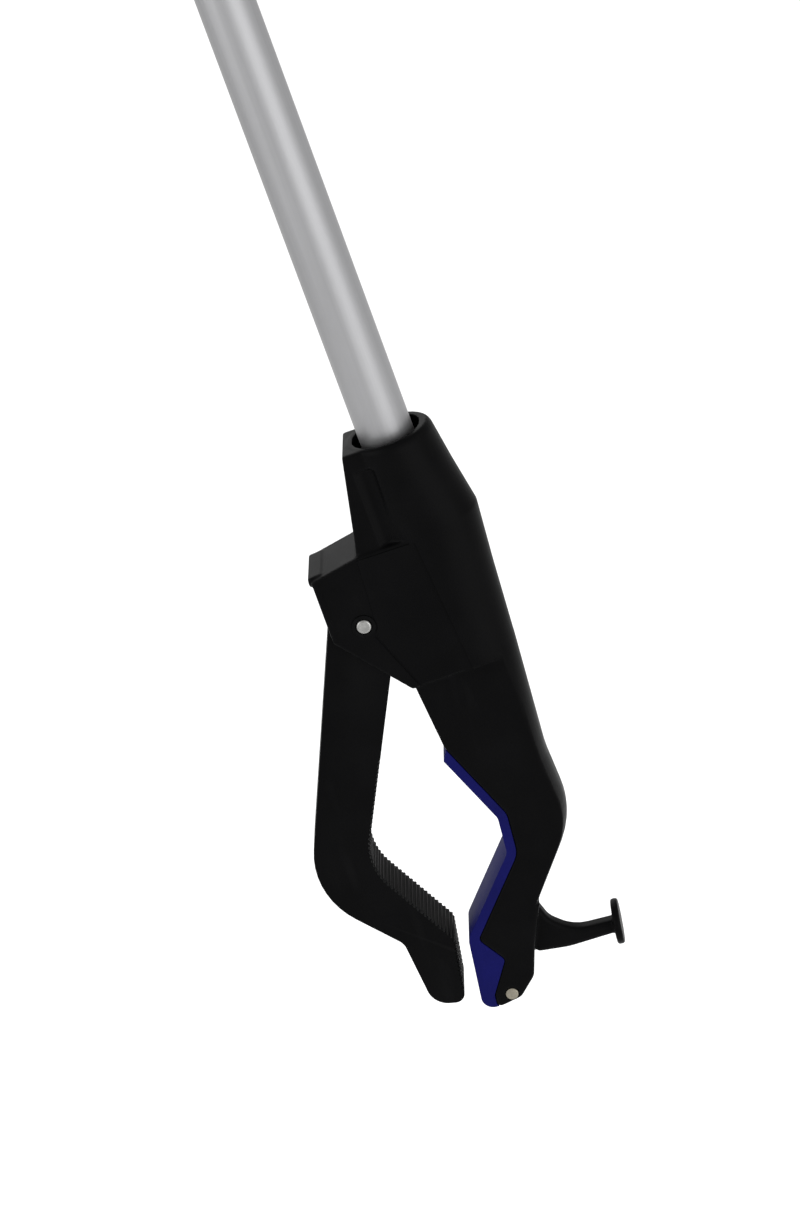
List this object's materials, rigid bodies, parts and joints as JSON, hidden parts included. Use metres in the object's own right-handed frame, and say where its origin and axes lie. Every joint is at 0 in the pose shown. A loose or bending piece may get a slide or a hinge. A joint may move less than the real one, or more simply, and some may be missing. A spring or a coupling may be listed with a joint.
{
  "type": "reacher grabber",
  "caption": "Hand-held reacher with a squeeze trigger, an aluminium shaft, one hinged jaw closing on a blue-lined fixed jaw, a tip magnet and a side hook.",
  "frame": {"origin": "on the tube's axis, level with the trigger's pivot, where the hand holds the handle", "axes": "+Z along the tube from the jaws to the handle, +Y along every hinge pin and away from the side that shows the pivot pin, +X from the moving jaw to the fixed jaw's outer side"},
  "size_m": [0.1246, 0.0292, 0.6535],
  "materials": {
    "black_plastic": "fine satin moulded surface",
    "blue_pad": "soft matt dark blue",
    "tube": "satin, drawn along its length",
    "steel": "bright zinc-plated steel",
    "magnet": "warm grey sintered metal",
    "white_plastic": "natural white moulded plastic"
  },
  "bodies": {
    "frame": {"jaw_housing": "black_plastic", "jaw_liner": "blue_pad", "tip_magnet": "magnet", "jaw_pivot_pin": "steel", "pivot_pin_washer": "steel", "socket_screw": "steel", "shaft_tube": "tube", "rear_rod_guide": "white_plastic", "front_rod_guide": "white_plastic", "spring_seat": "steel", "return_spring": "steel", "near_handle_shell": "black_plastic", "far_handle_shell": "black_plastic", "trigger_pivot_pin": "steel", "handle_screw_1": "steel", "handle_screw_2": "steel", "handle_screw_3": "steel", "handle_screw_4": "steel", "handle_tube_screw": "steel"},
    "jaw": {"moving_jaw": "black_plastic", "jaw_link_pin": "steel"},
    "rod": {"pull_rod": "steel", "spring_collar": "white_plastic", "jaw_rod_fork": "white_plastic", "trigger_rod_fork": "white_plastic"},
    "trigger": {"trigger": "black_plastic", "trigger_link_pin": "steel"}
  },
  "joints": [
    {"name": "jaw_hinge", "type": "hinge", "parent": "frame", "child": "jaw", "pos_m": [-0.0287, 0, -0.3864], "axis": [0, -1, 0], "range_deg": [-35, 1.8]},
    {"name": "rod_slide", "type": "slide", "parent": "frame", "child": "rod", "axis": [0, 0, 1], "range_m": [-0.01775, 0.00095], "stiffness_N_per_m": 300, "springref_m": -0.024, "deforming": ["return_spring"]},
    {"name": "trigger_hinge", "type": "hinge", "parent": "frame", "child": "trigger", "pos_m": [0.026, 0, 0], "axis": [0, 1, 0], "range_deg": [-38.6, 2]}
  ],
  "couplings": [
    {"joint": "rod_slide", "follows": "jaw_hinge", "m_per_rad": 0.028949},
    {"joint": "trigger_hinge", "follows": "jaw_hinge", "ratio": 1.1018}
  ]
}
